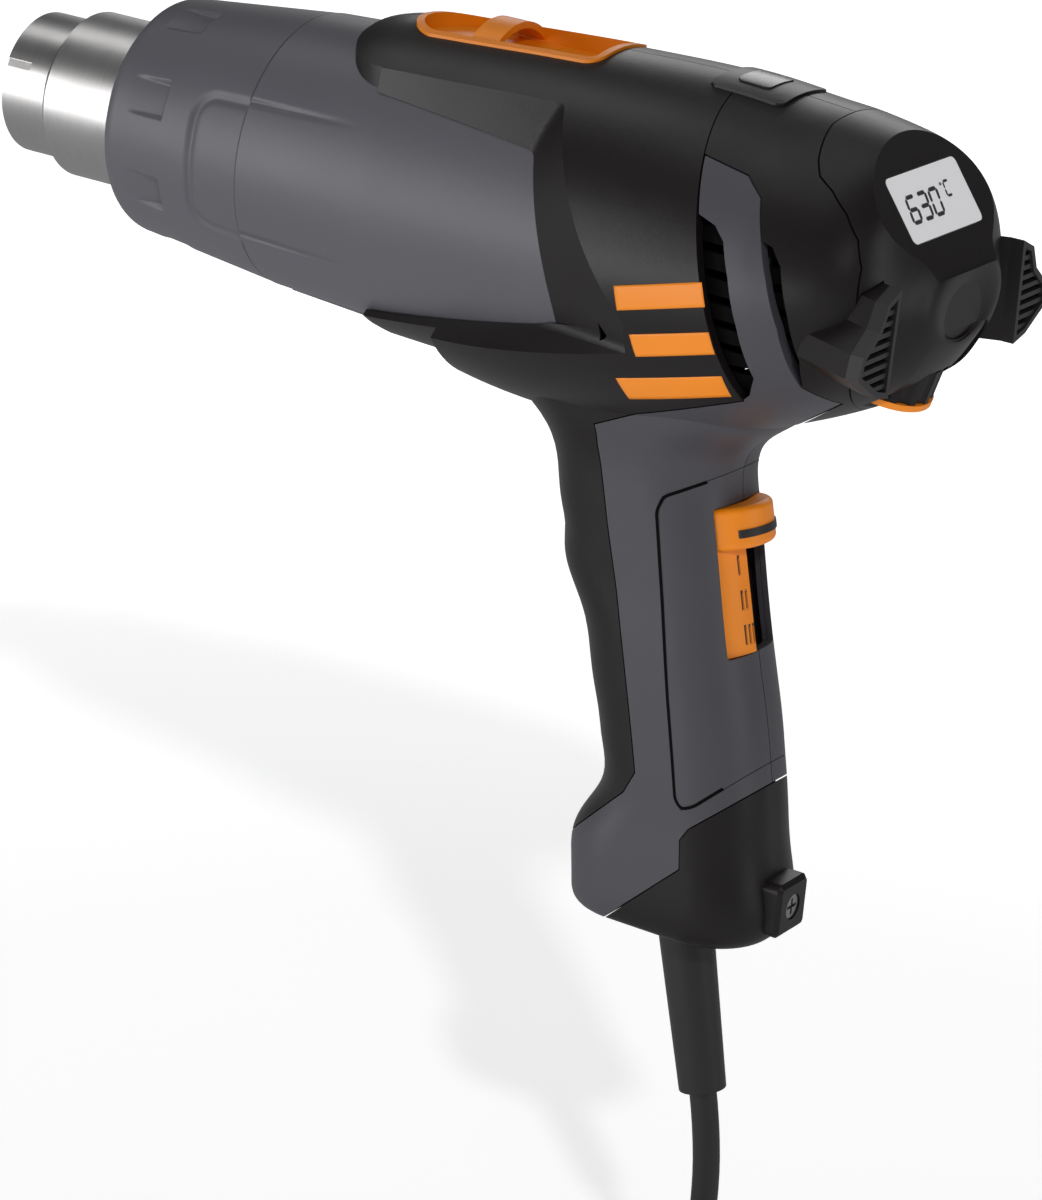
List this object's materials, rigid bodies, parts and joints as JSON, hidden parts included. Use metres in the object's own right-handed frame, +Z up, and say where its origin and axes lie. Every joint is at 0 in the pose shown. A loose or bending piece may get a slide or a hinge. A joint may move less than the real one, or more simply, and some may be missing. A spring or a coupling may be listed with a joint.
{
  "type": "hot-air gun",
  "caption": "Pistol-grip hot-air gun with a steel nozzle pipe, ribbed heat guard, display and dial at the back, a slide switch in the grip and a mains lead.",
  "frame": {"origin": "middle of the grip where the hand closes round it, on the parting plane", "axes": "+X from the nozzle back along the barrel, +Y to the tool's right-hand side, +Z up with the barrel level"},
  "size_m": [0.2598, 0.159, 0.3315],
  "materials": {
    "stainless": "finely brushed",
    "ceramic": "matt ceramic",
    "heating_wire": "oxidised",
    "mica": "matt",
    "grey_plastic": "fine grain",
    "black_plastic": "satin",
    "black_rubber": "satin",
    "orange_plastic": "satin",
    "red_lens": "polished",
    "screw_steel": "zinc plated",
    "motor_steel": "zinc plated",
    "dark_recess": "matt",
    "display_panel": "matt grey panel",
    "board_green": "solder mask",
    "plated_brass": "nickel plated",
    "display_face": "satin light grey display face"
  },
  "bodies": {
    "housing": {"nozzle_pipe": "stainless", "heater_core": "ceramic", "heater_coil": "heating_wire", "mica_tube": "mica", "heater_flange": "mica", "barrel_housing": "grey_plastic", "main_housing_left": "black_plastic", "main_housing_right": "black_plastic", "rear_housing_left": "black_plastic", "rear_housing_right": "black_plastic", "grip_left": "grey_plastic", "grip_right": "grey_plastic", "grip_pad_left": "grey_plastic", "grip_pad_right": "grey_plastic", "end_cap": "black_plastic", "base_cap": "black_plastic", "foot_pad_left": "black_rubber", "foot_pad_right": "black_rubber", "top_tray": "orange_plastic", "light_bezel": "black_plastic", "light_lens": "red_lens", "housing_screws": "screw_steel", "base_screw": "screw_steel", "switch_cradle": "dark_recess", "switch_scale": "orange_plastic", "display_window": "display_face", "display_module": "display_panel", "dial_encoder": "board_green", "control_board": "board_green", "air_screen_left": "black_plastic", "air_screen_right": "black_plastic", "motor_body": "motor_steel", "motor_mount": "dark_recess", "power_board": "board_green", "terminal_block": "dark_recess", "inner_lead": "black_rubber", "cord_clamp": "black_plastic", "strain_relief": "black_rubber", "mains_lead": "black_rubber", "lead_coil": "black_rubber", "lead_tie": "black_rubber", "plug_lead": "black_rubber", "plug_body": "black_rubber", "plug_pins": "plated_brass"},
    "sleeve": {"protective_sleeve": "grey_plastic"},
    "switch": {"switch_knob": "orange_plastic", "switch_index": "black_rubber"},
    "dial": {"dial_wheel": "black_plastic", "dial_ring": "orange_plastic", "dial_shaft": "screw_steel"},
    "rotor": {"motor_shaft": "screw_steel", "fan_wheel": "dark_recess"}
  },
  "joints": [
    {"name": "sleeve_slide", "type": "slide", "parent": "housing", "child": "sleeve", "axis": [-1, 0, 0], "range_m": [0, 0.085]},
    {"name": "switch_slide", "type": "slide", "parent": "housing", "child": "switch", "axis": [0.2351, 0, -0.972], "range_m": [0, 0.0243]},
    {"name": "dial_turn", "type": "hinge", "parent": "housing", "child": "dial", "pos_m": [0.051, 0, 0.0752], "axis": [0.2756, 0, 0.9613], "continuous": true},
    {"name": "rotor_spin", "type": "hinge", "parent": "housing", "child": "rotor", "pos_m": [0.006, 0, 0.09], "axis": [1, 0, 0], "continuous": true}
  ]
}
